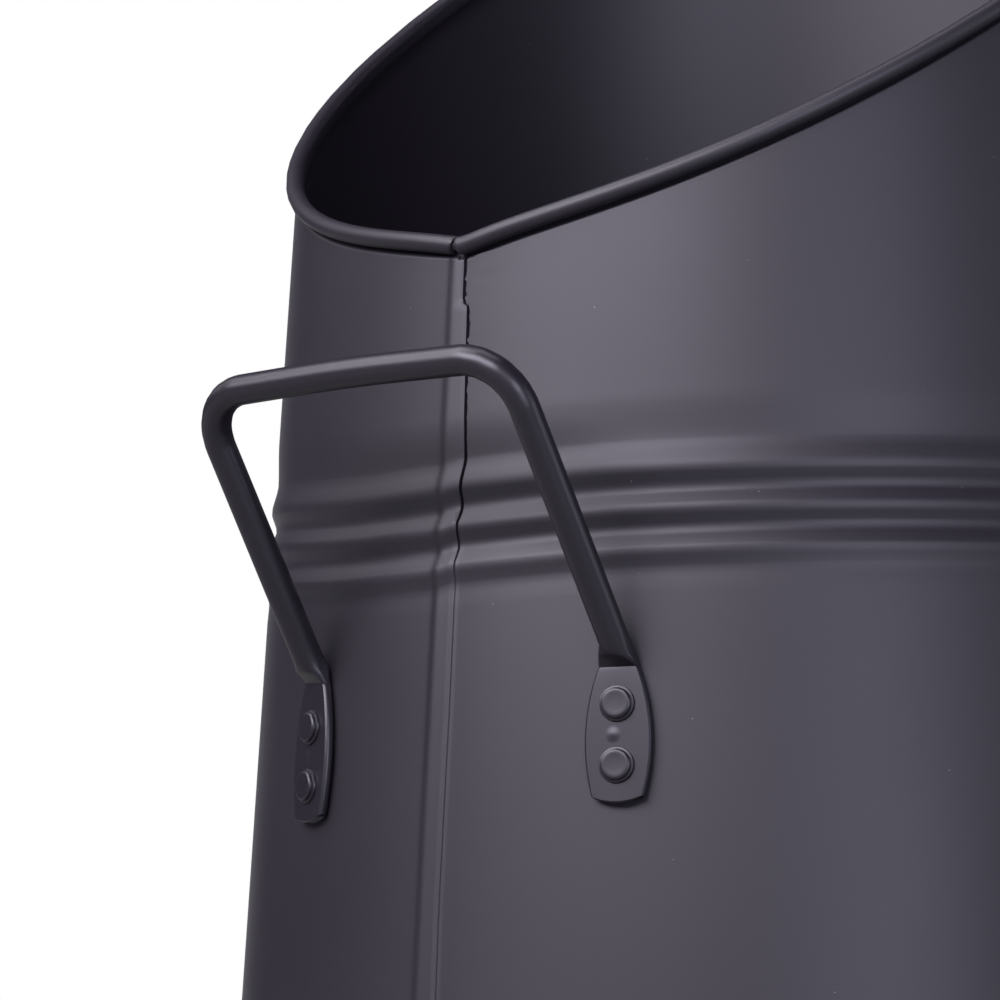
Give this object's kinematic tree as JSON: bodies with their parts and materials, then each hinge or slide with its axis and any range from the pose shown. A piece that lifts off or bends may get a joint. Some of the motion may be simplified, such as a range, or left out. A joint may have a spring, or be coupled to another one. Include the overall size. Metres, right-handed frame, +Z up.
{
  "type": "coal hod",
  "caption": "Tapered sheet-steel coal hod with a slanted wired mouth, a pressed band of ribs, a riveted rear tilting handle and a swinging bail for carrying.",
  "frame": {"origin": "centre of the base's underside, on the body's axis", "axes": "+Z up along the body's axis, +Y towards the low back with the seam and rear handle, -Y towards the high pouring lip, X along the bail's hinge"},
  "size_m": [0.2825, 0.3038, 0.4271],
  "materials": {
    "sheet_coat": "satin charcoal powder coat on sheet steel",
    "rod_coat": "satin charcoal powder coat on steel rod",
    "ear_coat": "satin charcoal powder coat on strip steel",
    "rivet_coat": "satin charcoal powder coat on steel rivets",
    "wire_coat": "charcoal powder coat on steel wire"
  },
  "bodies": {
    "hod": {"body_sheet": "sheet_coat", "rim_wire": "wire_coat", "base_pan": "sheet_coat", "rear_handle": "rod_coat", "rear_handle_rivets": "rivet_coat", "left_ear": "ear_coat", "right_ear": "ear_coat"},
    "bail": {"bail": "rod_coat"}
  },
  "joints": [
    {"name": "bail_swing", "type": "hinge", "parent": "hod", "child": "bail", "pos_m": [0, -0.0171, 0.32554], "axis": [-1, 0, 0], "range_deg": [0, 241.5]}
  ]
}
